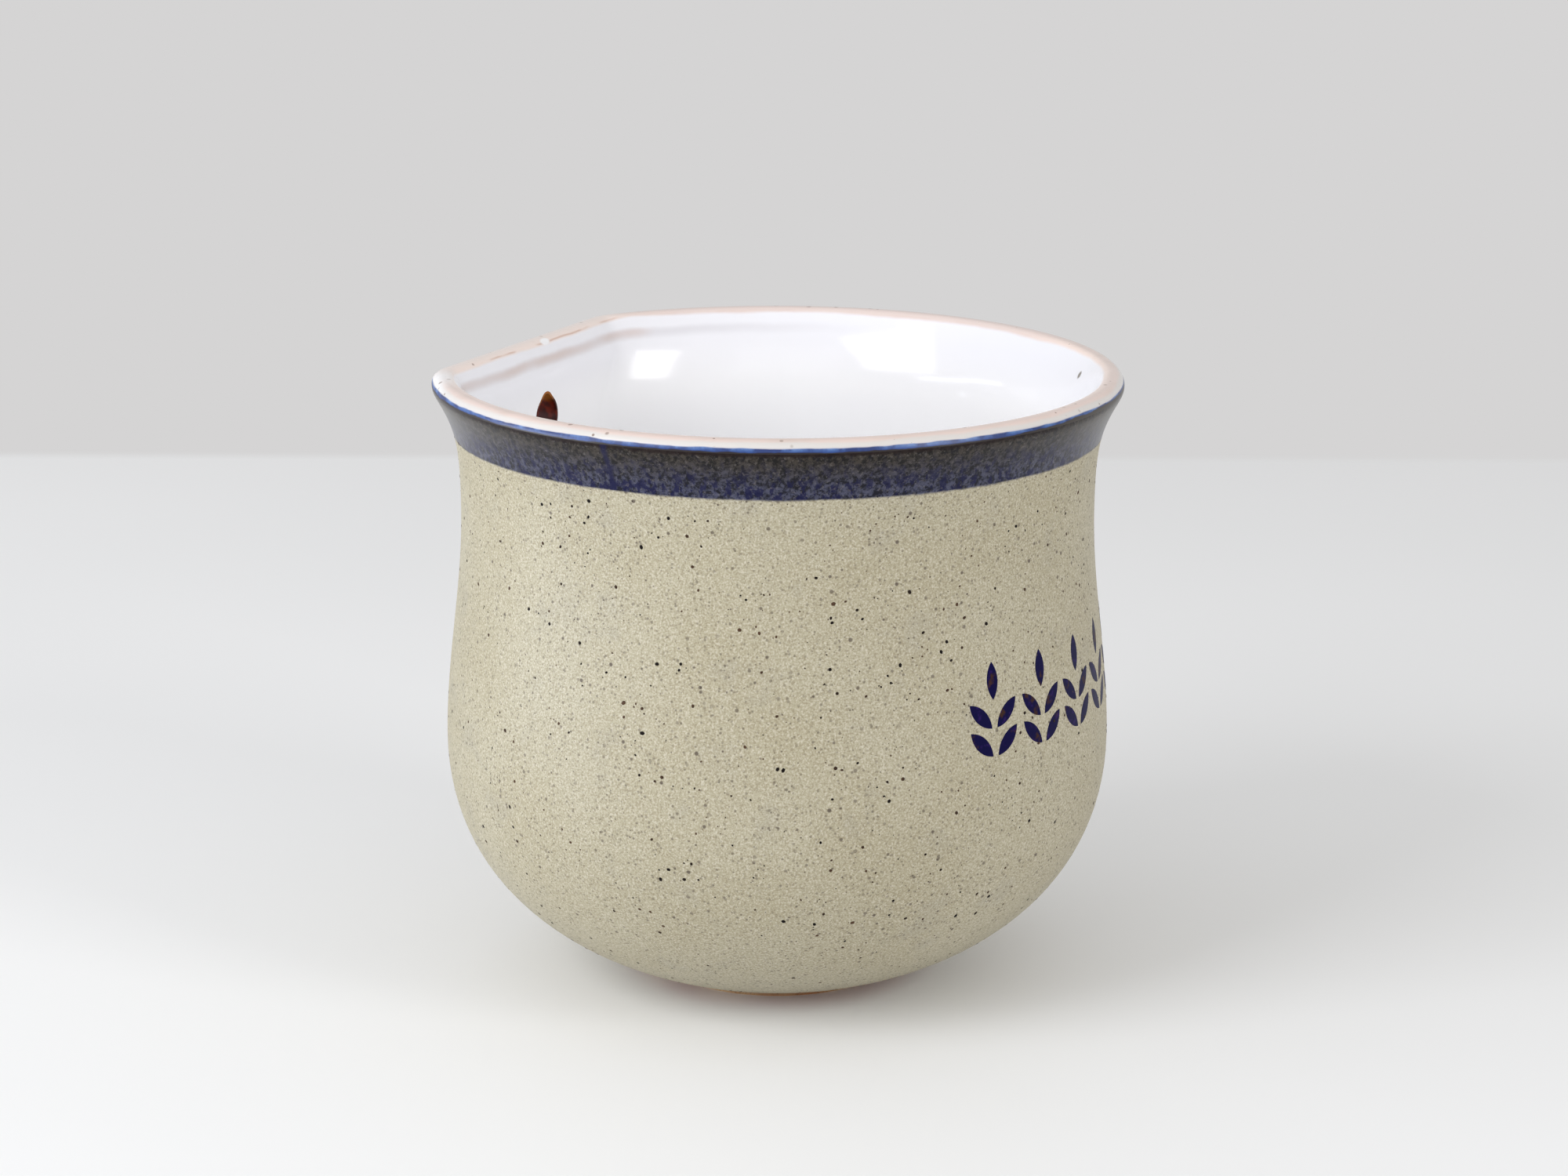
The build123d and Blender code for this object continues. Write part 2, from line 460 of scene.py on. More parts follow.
def speckledGlaze():
    material, place = newFinish("speckledGlaze")
    shade, grain = coatColour(place)
    bandShade = bandColour(place)[0]
    height = place.part("Z")
    wobble = place.noise(120, 2) * 0.5 + place.noise(700, 2) * 0.3
    inBand = (height + wobble).step(bandBottom - 0.05, bandBottom + bandLook["fringe"])
    toast = 1 - (height + place.noise(260, 3) * 2.4).step(coatBottom + 1.0, coatBottom + 2.6)
    shade = (toast * 0.75).blend(shade, coatLook["toasted"])
    shade = inBand.blend(shade, bandShade)
    rough = coatLook["roughness"] + grain * 0.12 - inBand * 0.16
    texture = place.bump(grain * 0.00003 + place.noise(700, 2) * 0.00004, 0.5)
    shader = place.make(
        "ShaderNodeBsdfPrincipled", {},
        {"Base Color": shade, "Roughness": rough, "Normal": texture, "IOR": coatLook["ior"]},
    )
    return setSurface(material, shader)


def bandGlaze():
    material, place = newFinish("blueGreyBand")
    shade, grain = bandColour(place)
    rough = bandLook["roughness"] + grain * 0.14
    texture = place.bump(grain * 0.00003 + place.noise(500, 2) * 0.00005, 0.5)
    shader = place.make(
        "ShaderNodeBsdfPrincipled", {},
        {
            "Base Color": shade, "Roughness": rough, "Normal": texture, "IOR": bandLook["ior"],
            "Sheen Weight": bandLook["sheen"], "Sheen Roughness": bandLook["sheenRoughness"],
        },
    )
    return setSurface(material, shader)


lineLook = {
    "blue": colour(42, 80, 148),
    "deep": colour(24, 46, 104),
    "washed": colour(106, 140, 192),
    "edge": colour(206, 203, 205),
    "streakScale": 260,
    "roughness": 0.3,
    "ior": 1.5,
}


def cobaltLine():
    material, place = newFinish("cobaltLine")
    height = place.part("Z")
    streak = place.noise(lineLook["streakScale"], 4, 0.6)
    shade = (streak.step(0.36, 0.64) * 0.8 + 0.1).blend(lineLook["deep"], lineLook["blue"])
    wobble = place.noise(180, 2) * 0.5
    thin = (height + wobble).step(lineTop - 0.45, lineTop) * streak.step(0.4, 0.7)
    shade = (thin * 0.7).blend(shade, lineLook["washed"])
    narrow = place.part("X").step(-28, 0)
    foot = height + place.noise(160, 3, 0.6, (0.2, 0.2, 0)) * 0.7 - narrow * 0.32
    under = 1 - foot.step(lineBottom + 0.52, lineBottom + 0.72)
    shade = under.blend(shade, narrow.blend(bandLook["rustEdge"], bandLook["brown"]))
    bare = (height + wobble).step(lineTop, lineTop + 0.22)
    shade = bare.blend(shade, lineLook["edge"])
    shader = place.make(
        "ShaderNodeBsdfPrincipled", {},
        {"Base Color": shade, "Roughness": lineLook["roughness"] + streak * 0.1, "IOR": lineLook["ior"]},
    )
    return setSurface(material, shader)


lipLook = {
    "grey": colour(216, 212, 209),
    "pink": colour(229, 209, 202),
    "tan": colour(221, 202, 194),
    "peach": colour(250, 231, 222),
    "far": colour(226, 210, 206),
    "back": colour(242, 230, 225),
    "rust": colour(190, 138, 110),
    "speck": colour(112, 84, 66),
    "dots": (560, 0.34, 3.0),  # scale, size and rarity
    "drip": (4.1, 47.4, 104.0),
    "dripSize": (0.5, 0.9),
    "roughness": 0.14,
    "ior": 1.5,
}


def lipWash():
    material, place = newFinish("lipWash")
    across = place.make("ShaderNodeAttribute", {"attribute_name": "across"}, {}, "Fac") / mm
    aside, depth = place.part("X"), place.part("Y")
    atBack = depth.step(potShape["backFlat"] - potShape["wall"], potShape["backFlat"])
    wander = across + place.noise(90, 3) - 0.5 - atBack - aside.step(25, 45) * 0.6
    shade = place.noise(140, 3).step(0.4, 0.7).blend(lipLook["pink"], lipLook["tan"])
    shade = (wander.step(2.1, 3.3) * 0.8).blend(shade, lipLook["peach"])
    farSide = aside.step(10, 40) * depth.step(-40, -15)
    away = 1 - (1 - farSide) * (1 - atBack)
    shade = (farSide * 0.8).blend(shade, lipLook["far"])
    shade = (atBack * 0.8).blend(shade, lipLook["back"])
    # painted light: at the far side and the back the grey outer strip mostly gives way to the lighter far and
    # back tones, where the edge turns away from the lamps
    shade = ((1 - wander.step(0.5, 1.3)) * (1 - away * 0.8)).blend(shade, lipLook["grey"])
    rust = wander.step(2.9, 3.3) * (1 - wander.step(3.3, 3.7)) * place.noise(110, 2).step(0.45, 0.6)
    shade = (rust * (atBack * 0.7 + 0.05)).blend(shade, lipLook["rust"])
    shade = wander.step(3.3, 4.1).blend(shade, whiteLook["upper"])
    runOver = depth.step(38, 47) * (1 - aside.step(-33, -25)) * (0.6 + place.noise(200, 2) * 0.5)
    shade = runOver.blend(shade, whiteLook["white"])
    drip = place.spot(lipLook["drip"], *lipLook["dripSize"], (0.5, 1, 1))
    shade = drip.blend(shade, whiteLook["white"])
    dots, tone = place.dots(*lipLook["dots"])
    dots = dots * (tone * 0.7 + 0.3) * (1 - wander.step(2.9, 3.4))
    shade = (dots * 0.8).blend(shade, lipLook["speck"])
    texture = place.bump(place.noise(300, 2) * 0.00008, 0.4)
    shader = place.make(
        "ShaderNodeBsdfPrincipled", {},
        {"Base Color": shade, "Roughness": lipLook["roughness"], "Normal": texture, "IOR": lipLook["ior"]},
    )
    return setSurface(material, shader)


whiteLook = {
    "white": colour(249, 249, 252),
    # the lining's tone near the rim, painted darker than lower down: painted shade where the lamps light the
    # wall strongly
    "upper": colour(241, 241, 247),
    "pooled": colour(253, 253, 255),
    # the pink at the bend on the flat back: partly thin glaze, partly painted shade under the bend
    "thin": colour(216, 198, 192),
    # painted shade along the bend below the rim
    "crease": colour(206, 203, 209),
    "bare": colour(96, 84, 62),
    "pinhole": (33.3, -40.7, 101.1),
    "pinholeSize": (0.25, 0.55),
    "bendDrop": 3.1,
    "poolDrop": (14, 3),  # painted light: from these drops below the rim the lining is painted lighter downwards, for the lower wall that the front rim shades
    "roughness": 0.1,
    "ior": 1.5,
}


def whiteGlaze():
    material, place = newFinish("whiteGlaze")
    cloud = place.noise(60, 3)
    # painted light and shade: the lining runs from a darker tone near the rim to a lighter one lower down,
    # where the front rim shades the wall
    paintedLightFull, paintedLightGone = (topLevel - drop for drop in whiteLook["poolDrop"])
    deep = 1 - place.part("Z").step(paintedLightFull, paintedLightGone)
    shade = deep.blend(whiteLook["upper"], whiteLook["pooled"])
    shade = (cloud.step(0.45, 0.75) * 0.12).blend(shade, whiteLook["upper"])
    innerBack = potShape["backFlat"] - potShape["wall"]
    depth = place.part("Y")
    height = place.part("Z") + place.noise(110, 3) * 0.8 - 0.4
    bend = topLevel - whiteLook["bendDrop"]
    crease = height.step(bend - 1.5, bend - 0.1) * (1 - height.step(bend, bend + 1.0))
    patchy = place.noise(70, 2).step(0.25, 0.6) * 0.6 + 0.4
    # the pink band at the bend on the flat back is partly the thin glaze over the bend and partly painted
    # shade under it
    thin = crease * depth.step(innerBack - 4.0, innerBack - 0.5) * patchy
    # painted shade: a faint grey line along the bend, carried round the side walls
    shade = (crease * depth.step(2, innerBack) * 0.45).blend(shade, whiteLook["crease"])
    shade = (thin * 0.7).blend(shade, whiteLook["thin"])
    pinhole = place.spot(whiteLook["pinhole"], *whiteLook["pinholeSize"], (0.7, 0.7, 0.55))
    shade = (pinhole * 0.85).blend(shade, whiteLook["bare"])
    texture = place.bump(place.noise(55, 2) * 0.00035 + place.noise(420, 2) * 0.00001, 0.5)
    rough = whiteLook["roughness"] + cloud * 0.05
    shader = place.make(
        "ShaderNodeBsdfPrincipled", {},
        {"Base Color": shade, "Roughness": rough, "Normal": texture, "IOR": whiteLook["ior"]},
    )
    return setSurface(material, shader)


holeMount = next(m for m in frame["record"]["mounts"] if m["name"] == "hanging_hole")
holeLevel = holeMount["pos_m"][2] / mm
hangingHole = {
    "topRadius": 1.6,
    "topRise": 2.5,
    "steps": 48,
    "brown": colour(92, 24, 8),
    "amber": colour(164, 96, 26),
    "dark": colour(50, 8, 5),
    "roughness": 0.3,
    "ior": 1.2,
}


def brownGlaze():
    material, place = newFinish("brownGlaze")
    height = place.part("Z")
    shade = place.noise(500, 3).step(0.4, 0.65).blend(hangingHole["dark"], hangingHole["brown"])
    tip = holeLevel + hangingHole["topRise"] + hangingHole["topRadius"]
    amber = (height + place.noise(300, 2) * 2).step(tip - 1.2, tip + 0.8) * 0.85
    shade = amber.blend(shade, hangingHole["amber"])
    rough = hangingHole["roughness"] + place.noise(400) * 0.1
    shader = place.make(
        "ShaderNodeBsdfPrincipled", {},
        {"Base Color": shade, "Roughness": rough, "IOR": hangingHole["ior"]},
    )
    return setSurface(material, shader)


def holeCutter():  # round and drawn up to a narrower top, a coat's thickness wider than the hole
    room, radius = potShape["coatThickness"], holeMount["dims"]["r_mm"]
    top, rise, steps = hangingHole["topRadius"], hangingHole["topRise"], hangingHole["steps"]
    leaves = math.asin((radius - top) / rise)  # direction in which the two rounds share a tangent
    ring = []
    for i in range(steps):
        a = -2 * math.pi * i / steps
        inTop = math.sin(a) > math.sin(leaves)
        reach, lift = (top, rise) if inTop else (radius, 0)
        ring.append(((reach + room) * math.cos(a), lift + (reach + room) * math.sin(a)))
    near, far = potShape["backFlat"] - 3 * potShape["wall"], potShape["backRim"] + potShape["wall"]
    verts = [(x * mm, y * mm, (holeLevel + z) * mm) for y in (near, far) for x, z in ring]
    faces = [tuple(range(steps - 1, -1, -1)), tuple(range(steps, 2 * steps))]
    faces += [(i, (i + 1) % steps, (i + 1) % steps + steps, i + steps) for i in range(steps)]
    mesh = bpy.data.meshes.new("holeCutter")
    mesh.from_pydata(verts, [], faces)
    return newObject("holeCutter", mesh)


clayLook = {"toasted": colour(158, 108, 70), "buff": colour(190, 160, 122), "grit": colour(104, 72, 48)}


def firedClay():
    material, place = newFinish("firedClay")
    shade = place.noise(120, 4).step(0.35, 0.7).blend(clayLook["toasted"], clayLook["buff"])
    grit = place.noise(2400, 2, 0.6)
    shade = ((1 - grit.step(0.3, 0.46)) * 0.7).blend(shade, clayLook["grit"])
    texture = place.bump(grit * 0.00005, 0.8)
    shader = place.make(
        "ShaderNodeBsdfPrincipled", {},
        {"Base Color": shade, "Roughness": 0.78 + grit * 0.12, "Normal": texture},
    )
    return setSurface(material, shader)


def coatPiece(name, mesh, cutter=None):
    piece = newObject(name, mesh)
    skin = piece.modifiers.new("skin", "SOLIDIFY")
    skin.thickness = potShape["coatThickness"] * mm
    skin.offset = -1
    if cutter:
        cut = piece.modifiers.new("hangingHole", "BOOLEAN")
        cut.object = cutter
        cut.solver = "EXACT"
    return bake(piece)


# every coat is a stretch of the same outline
outsideRows, insideRows = clayRows()
coatRows = between(outsideRows, coatBottom, bandBottom)
bandRows = between(outsideRows, bandBottom, lineBottom)
lineRows = between(outsideRows, lineBottom, lineTop)
lipRows = between(outsideRows, lineTop, topLevel) + between(insideRows, liningTop, topLevel)
liningRows = between(insideRows, 0, liningTop)

cutter = holeCutter()
coatSheet = sheetMesh("coatSheet", coatRows)
coat = coatPiece("outerCoat", coatSheet.copy(), cutter)
band = coatPiece("rimBand", sheetMesh("bandSheet", bandRows), cutter)
line = coatPiece("rimLine", sheetMesh("lineSheet", lineRows))
lip = coatPiece("lipWash", sheetMesh("lipSheet", lipRows))
lining = coatPiece("lining", sheetMesh("liningSheet", liningRows, closed=True), cutter)
bpy.data.objects.remove(cutter)

coatFinish = speckledGlaze()
finishPiece(coat, coatFinish, "speckled_glaze", "outer_glaze")
finishPiece(band, bandGlaze(), "blue_grey_band", "rim_band")
finishPiece(line, cobaltLine(), "blue_line", "rim_line")
finishPiece(lip, lipWash(), "lip_wash", "lip_glaze")
finishPiece(lining, whiteGlaze(), "white_glaze", "lining_glaze")

for node, finish in (("stoneware_body", firedClay()), ("hole_lining", brownGlaze())):
    shown = frame["nodes"][node]
    shown.data.materials.clear()
    shown.data.materials.append(finish)
    print(node, "painted")


def newTree(name, inputs):  # returns the tree, its input wires by name and their identifiers
    tree = bpy.data.node_groups.new(name, "GeometryNodeTree")
    tree.interface.new_socket("Geometry", in_out="INPUT", socket_type="NodeSocketGeometry")
    identifiers = {}
    for label, kind in inputs.items():
        identifiers[label] = tree.interface.new_socket(label, in_out="INPUT", socket_type=kind).identifier
    tree.interface.new_socket("Geometry", in_out="OUTPUT", socket_type="NodeSocketGeometry")
    given = tree.nodes.new("NodeGroupInput")
    wires = {label: Wire(tree, given.outputs[label]) for label in ["Geometry", *inputs]}
    return tree, wires, identifiers


def endTree(tree, geometry):
    output = tree.nodes.new("NodeGroupOutput")
    tree.links.new(geometry.socket, output.inputs[0])


def runTree(obj, tree, identifiers, values):
    modifier = obj.modifiers.new(tree.name, "NODES")
    modifier.node_group = tree
    for label, value in values.items():
        modifier[identifiers[label]] = value
    return obj


specks = {  # burnt through the oatmeal coat, in millimetres
    "perSquareMetre": 180000,
    "smallest": 0.1,
    "largest": 0.37,
    "mostlySmall": 4.0,
    "stretch": (0.7, 1.4),
    "flatness": 0.22,
    "seed": 11,
    "stretchSeed": 5,
    "turnSeed": 3,
    "iron": colour(18, 12, 11),
    "rust": colour(80, 60, 46),
    "roughness": 0.45,
    "ior": 1.2,
}


def ironSpeck():
    material, place = newFinish("ironSpeck")
    shade = place.noise(160, 2).step(0.4, 0.62).blend(specks["iron"], specks["rust"])
    rough = specks["roughness"] + place.noise(900) * 0.15
    shader = place.make(
        "ShaderNodeBsdfPrincipled", {},
        {"Base Color": shade, "Roughness": rough, "IOR": specks["ior"]},
    )
    return setSurface(material, shader)


def speckTree():
    tree, given, identifiers = newTree("ironSpecks", {
        "Density": "NodeSocketFloat",
        "Smallest": "NodeSocketFloat",
        "Largest": "NodeSocketFloat",
        "Flatness": "NodeSocketFloat",
        "Seed": "NodeSocketInt",
        "Finish": "NodeSocketMaterial",
    })
    skin = given["Geometry"]
    place = skin.make("GeometryNodeInputPosition")
    crowd = place.noise(75, 2).step(0.35, 0.72) * 0.8 + 0.2
    spread = skin.make(
        "GeometryNodeDistributePointsOnFaces", {"distribute_method": "RANDOM"},
        {"Mesh": skin, "Density": given["Density"] * crowd, "Seed": given["Seed"]},
    )
    rotation = Wire(tree, spread.socket.node.outputs["Rotation"])
    chance = skin.make("FunctionNodeRandomValue", {"data_type": "FLOAT"}, {"Seed": given["Seed"]}, 1)
    radius = given["Smallest"] + (given["Largest"] - given["Smallest"]) * chance ** specks["mostlySmall"]
    blob = skin.make("GeometryNodeMeshIcoSphere", {}, {"Radius": 1.0, "Subdivisions": 1})
    shortest, longest = specks["stretch"]
    long = skin.make(
        "FunctionNodeRandomValue", {"data_type": "FLOAT"},
        {2: shortest, 3: longest, "Seed": specks["stretchSeed"]}, 1,
    )
    size = skin.make(
        "ShaderNodeCombineXYZ", {}, {"X": radius * long, "Y": radius, "Z": radius * given["Flatness"]}
    )
    turn = skin.make(
        "FunctionNodeRandomValue", {"data_type": "FLOAT"}, {2: 0.0, 3: 6.28, "Seed": specks["turnSeed"]}, 1
    )
    spin = skin.make("ShaderNodeCombineXYZ", {}, {"Z": turn})
    turned = skin.make(
        "FunctionNodeRotateRotation", {"rotation_space": "LOCAL"}, {"Rotation": rotation, "Rotate By": spin}
    )
    placed = skin.make(
        "GeometryNodeInstanceOnPoints", {},
        {"Points": spread, "Instance": blob, "Rotation": turned, "Scale": size},
    )
    real = skin.make("GeometryNodeRealizeInstances", {}, {"Geometry": placed})
    endTree(tree, skin.make(
        "GeometryNodeSetMaterial", {}, {"Geometry": real, "Material": given["Finish"]}
    ))
    return tree, identifiers


ironFinish = ironSpeck()
tree, identifiers = speckTree()
speckPiece = runTree(newObject("ironSpecks", coatSheet.copy()), tree, identifiers, {
    "Density": specks["perSquareMetre"],
    "Smallest": specks["smallest"] * mm,
    "Largest": specks["largest"] * mm,
    "Flatness": specks["flatness"],
    "Seed": specks["seed"],
    "Finish": ironFinish,
})
finishPiece(bake(speckPiece, 60), ironFinish, "speckled_glaze")


sprigs = {  # stencilled on the front, in millimetres and degrees
    "count": 5,
    "turn": 12.0,
    "level": 57.3,
    "height": 15.4,
    "leafLength": 6.2,
    "leafWidth": 2.3,
    "leafSlant": 45.0,
    "leafSteps": 18,
    "tierRise": 0.74,
    "bridge": 1.1,
    "proud": 0.03,
    "cobalt": colour(9, 5, 56),
    "violet": colour(46, 24, 92),
    "rust": colour(58, 36, 30),
    "roughness": 0.32,
    "ior": 1.15,
}


def cobaltStencil():
    material, place = newFinish("cobaltStencil")
    patch = place.noise(420, 3)
    shade = patch.step(0.56, 0.68).blend(sprigs["cobalt"], sprigs["rust"])
    bloom = place.noise(800, 3, 0.6, (0.2, 0, 0.1)).step(0.55, 0.7)
    shade = (bloom * 0.6).blend(shade, sprigs["violet"])
    texture = place.bump(place.noise(900, 2) * 0.00004, 0.5)
    shader = place.make(
        "ShaderNodeBsdfPrincipled", {},
        {
            "Base Color": shade, "Roughness": sprigs["roughness"] + patch * 0.12,
            "Normal": texture, "IOR": sprigs["ior"],
        },
    )
    return setSurface(material, shader)


def leafMesh():  # one pointed leaf lying in the X-Z plane with its foot at the origin
    length, width, steps = sprigs["leafLength"], sprigs["leafWidth"], sprigs["leafSteps"]
    bow = (length**2 + width**2) / (4 * width)
    verts, faces = [], []
    across = (-1.0, -0.5, 0.0, 0.5, 1.0)
    for i in range(steps + 1):
        along = length * i / steps
        half = math.sqrt(max(bow**2 - (along - length / 2) ** 2, 0)) - bow + width / 2
        verts += [(half * a * mm, 0, along * mm) for a in across]
    n = len(across)
    for i in range(steps):
        faces += [(i * n + j, i * n + j + 1, (i + 1) * n + j + 1, (i + 1) * n + j) for j in range(n - 1)]
    mesh = bpy.data.meshes.new("leaf")
    mesh.from_pydata(verts, [], faces)
    return mesh


def sprigTree():
    tree, given, identifiers = newTree("stencilSprigs", {
        "Count": "NodeSocketInt",
        "Pitch": "NodeSocketFloat",
        "Level": "NodeSocketFloat",
        "Sprig Height": "NodeSocketFloat",
        "Leaf Length": "NodeSocketFloat",
        "Slant": "NodeSocketFloat",
        "Bridge": "NodeSocketFloat",
        "Girth": "NodeSocketFloat",
        "Proud": "NodeSocketFloat",
        "Pot": "NodeSocketObject",
        "Finish": "NodeSocketMaterial",
    })
    leaf = given["Geometry"]
    half = given["Sprig Height"] * 0.5
    foot = given["Bridge"] * 0.5

    def laid(x, z, lean):
        shift = leaf.make("ShaderNodeCombineXYZ", {}, {"X": x, "Z": z})
        turn = leaf.make("ShaderNodeCombineXYZ", {}, {"Y": lean})
        return leaf.make(
            "GeometryNodeTransform", {}, {"Geometry": leaf, "Translation": shift, "Rotation": turn}
        )

    leaves = [laid(0.0, half - given["Leaf Length"], 0.0)]
    tier = given["Leaf Length"] * sprigs["tierRise"]
    for low in (half * -1, half * -1 + tier):
        leaves.append(laid(foot, low, given["Slant"]))
        leaves.append(laid(foot * -1, low, given["Slant"] * -1))
    join = tree.nodes.new("GeometryNodeJoinGeometry")
    for one in reversed(leaves):
        tree.links.new(one.socket, join.inputs[0])
    sprig = Wire(tree, join.outputs[0])
    start = (given["Count"] - 1) * given["Pitch"] * -0.5
    row = leaf.make(
        "GeometryNodeMeshLine", {"mode": "OFFSET"},
        {
            "Count": given["Count"],
            "Start Location": leaf.make("ShaderNodeCombineXYZ", {}, {"X": start, "Z": given["Level"]}),
            "Offset": leaf.make("ShaderNodeCombineXYZ", {}, {"X": given["Pitch"]}),
        },
    )
    placed = leaf.make("GeometryNodeInstanceOnPoints", {}, {"Points": row, "Instance": sprig})
    flat = leaf.make("GeometryNodeRealizeInstances", {}, {"Geometry": placed})
    # wrapped round the pot: every point looks in along its own radius and lands on the coat
    place = leaf.make("GeometryNodeInputPosition")
    turn = leaf.make("ShaderNodeSeparateXYZ", {}, {"Vector": place}, "X") / given["Girth"]
    side, front = turn.reckon("SINE", turn), turn.reckon("COSINE", turn)
    level = leaf.make("ShaderNodeSeparateXYZ", {}, {"Vector": place}, "Z")
    away = given["Girth"] * 2
    outside = leaf.make(
        "ShaderNodeCombineXYZ", {}, {"X": side * away, "Y": front * away * -1, "Z": level}
    )
    inward = leaf.make("ShaderNodeCombineXYZ", {}, {"X": side * -1, "Y": front})
    pot = leaf.make("GeometryNodeObjectInfo", {}, {"Object": given["Pot"]}, "Geometry")
    ray = leaf.make(
        "GeometryNodeRaycast", {},
        {"Target Geometry": pot, "Source Position": outside, "Ray Direction": inward, "Ray Length": away * 2},
        "Hit Position",
    )
    facing = Wire(tree, ray.socket.node.outputs["Hit Normal"])
    lift = leaf.make("ShaderNodeVectorMath", {"operation": "SCALE"}, {0: facing, "Scale": given["Proud"]})
    landed = leaf.make("ShaderNodeVectorMath", {"operation": "ADD"}, {0: ray, 1: lift})
    wrapped = leaf.make("GeometryNodeSetPosition", {}, {"Geometry": flat, "Position": landed})
    endTree(tree, leaf.make(
        "GeometryNodeSetMaterial", {}, {"Geometry": wrapped, "Material": given["Finish"]}
    ))
    return tree, identifiers


stencilFinish = cobaltStencil()
girth = valueAt([(r, z) for r, z, back, corner in coatRows], sprigs["level"])
tree, identifiers = sprigTree()
sprigPiece = runTree(newObject("stencilSprigs", leafMesh()), tree, identifiers, {
    "Count": sprigs["count"],
    "Pitch": math.radians(sprigs["turn"]) * girth * mm,
    "Level": sprigs["level"] * mm,
    "Sprig Height": sprigs["height"] * mm,
    "Leaf Length": sprigs["leafLength"] * mm,
    "Slant": math.radians(sprigs["leafSlant"]),
    "Bridge": sprigs["bridge"] * mm,
    "Girth": girth * mm,
    "Proud": sprigs["proud"] * mm,
    "Pot": coat,
    "Finish": stencilFinish,
})
skin = sprigPiece.modifiers.new("skin", "SOLIDIFY")
skin.thickness = 2 * sprigs["proud"] * mm
skin.offset = -1
finishPiece(bake(sprigPiece), stencilFinish, "cobalt_stencil", "stencil_sprigs")


view = {  # millimetres and degrees, fitted to the rim, the foot and the sides
    "azimuth": -63.2,
    "distance": 720.0,
    "height": 250.4,
    "aside": 1.1,
    "pitch": 14.34,
    "roll": 0.18,
    "focalPixels": 5578.0,
    "imageWidth": 2000.0,
    "sensorWidth": 36.0,
    "clip": (0.05, 20),
}
turn = math.radians(view["azimuth"])
towardCamera = Vector((math.sin(turn), -math.cos(turn), 0))
toRight = Vector((math.cos(turn), math.sin(turn), 0))
up = Vector((0, 0, 1))


def inView(right, near, high):  # a place in millimetres as the camera sees it, from the foot's middle
    return (toRight * right + towardCamera * near + up * high) * mm


camera = bpy.data.objects.new("camera", bpy.data.cameras.new("camera"))
bpy.context.scene.collection.objects.link(camera)
camera.data.sensor_width = view["sensorWidth"]
camera.data.lens = view["focalPixels"] / view["imageWidth"] * camera.data.sensor_width
camera.data.clip_start, camera.data.clip_end = view["clip"]
pitch = math.radians(view["pitch"])
backAxis = towardCamera * math.cos(pitch) + up * math.sin(pitch)
upAxis = backAxis.cross(toRight)
axes = Matrix((toRight, upAxis, backAxis)).transposed()
axes = axes @ Matrix.Rotation(math.radians(view["roll"]), 3, "Z")
stand = inView(view["aside"], view["distance"], view["height"])
camera.matrix_world = Matrix.Translation(stand) @ axes.to_4x4()
bpy.context.scene.camera = camera

backdrop = {
    "seen": colour(213, 212, 212),
    "seenStrength": 1.0,
    "light": (1.0, 0.99, 0.97, 1.0),
    "lightStrength": 0.575,
}
floorLook = {
    "tone": colour(249, 250, 252),
    "cloud": colour(247, 248, 250),
    "roughness": 0.55,
    "ior": 1.3,
    "farEdge": -403.0,
    "melt": 11.0,
    "nearEdge": 1800.0,
    "halfWidth": 1500.0,
}


def paleTable():
    material, place = newFinish("paleTable")
    shade = place.noise(4, 2).step(0.3, 0.7).blend(floorLook["tone"], floorLook["cloud"])
    shader = place.make(
        "ShaderNodeBsdfPrincipled", {},
        {"Base Color": shade, "Roughness": floorLook["roughness"], "IOR": floorLook["ior"]},
    )
    # the table's far edge melts into the tone of the backdrop
    ahead = place.make(
        "ShaderNodeVectorMath", {"operation": "DOT_PRODUCT"}, {0: place, 1: towardCamera}, "Value"
    ) / mm
    solid = ahead.step(floorLook["farEdge"], floorLook["farEdge"] + floorLook["melt"])
    far = place.make(
        "ShaderNodeEmission", {}, {"Color": backdrop["seen"], "Strength": backdrop["seenStrength"]}
    )
    return setSurface(material, place.make("ShaderNodeMixShader", {}, {0: solid, 1: far, 2: shader}))


edges = [
    inView(side * floorLook["halfWidth"], end, 0)
    for side, end in (
        (-1, floorLook["farEdge"]), (-1, floorLook["nearEdge"]),
        (1, floorLook["nearEdge"]), (1, floorLook["farEdge"]),
    )
]
floorMesh = bpy.data.meshes.new("floor")
floorMesh.from_pydata([tuple(e) for e in edges], [], [(0, 1, 2, 3)])
floor = newObject("floor", floorMesh)
floorMesh.materials.append(paleTable())

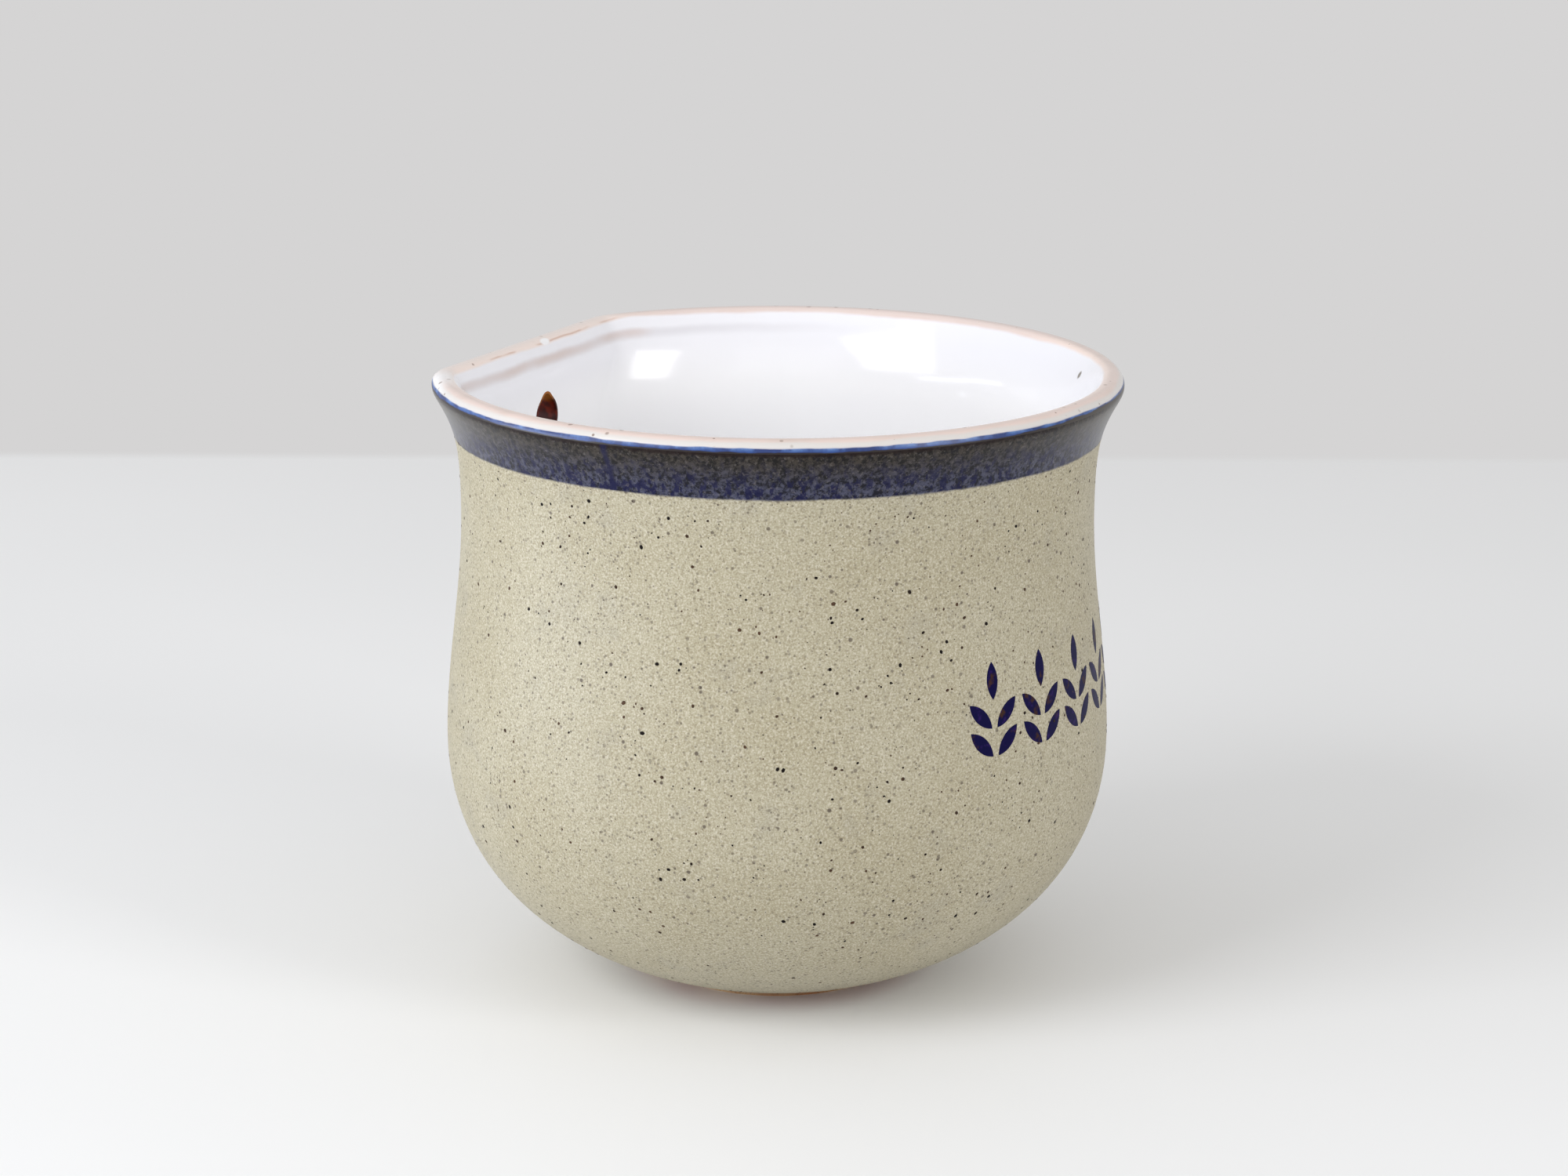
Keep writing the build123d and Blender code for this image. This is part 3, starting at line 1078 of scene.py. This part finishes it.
world = bpy.data.worlds.new("studio")
bpy.context.scene.world = world
world.use_nodes = True
world.node_tree.nodes.clear()
rays = world.node_tree.nodes.new("ShaderNodeLightPath")
seen = Wire(world.node_tree, rays.outputs["Is Camera Ray"])
glossy = Wire(world.node_tree, rays.outputs["Is Glossy Ray"])
through = Wire(world.node_tree, rays.outputs["Is Transmission Ray"])
looksPlain = seen.reckon("MAXIMUM", seen, seen.reckon("MAXIMUM", glossy, through))
plain = seen.make(
    "ShaderNodeBackground", {}, {"Color": backdrop["seen"], "Strength": backdrop["seenStrength"]}
)
soft = seen.make(
    "ShaderNodeBackground", {}, {"Color": backdrop["light"], "Strength": backdrop["lightStrength"]}
)
sky = seen.make("ShaderNodeMixShader", {}, {0: looksPlain, 1: soft, 2: plain})
worldOutput = world.node_tree.nodes.new("ShaderNodeOutputWorld")
world.node_tree.links.new(sky.socket, worldOutput.inputs["Surface"])

lampAim = 60.0  # height on the pot that the lamps point at
lamps = {
    "keySoftbox": {"place": (-640, 520, 560), "size": (520, 560), "power": 3.9, "tint": (0.98, 0.985, 1.0)},
    "lowSoftbox": {"place": (-900, 150, 130), "size": (700, 240), "power": 3.5, "tint": (0.88, 0.93, 1.0)},
    "sideSoftbox": {"place": (760, 560, 400), "size": (300, 520), "power": 2.85, "tint": (1.0, 0.99, 0.975)},
    "frontPanel": {"place": (-100, 1250, 600), "size": (1000, 700), "power": 0.95, "tint": (1.0, 1.0, 1.0)},
}
for name, lamp in lamps.items():
    light = bpy.data.lights.new(name, "AREA")
    light.shape = "RECTANGLE"
    light.size, light.size_y = lamp["size"][0] * mm, lamp["size"][1] * mm
    light.energy = lamp["power"]
    light.color = lamp["tint"]
    holder = bpy.data.objects.new(name, light)
    bpy.context.scene.collection.objects.link(holder)
    holder.location = inView(*lamp["place"])
    aim = inView(0, 0, lampAim) - holder.location
    holder.rotation_euler = aim.to_track_quat("-Z", "Y").to_euler()
print("camera, floor and lamps set")

bpy.context.scene.view_settings.view_transform = "Standard"
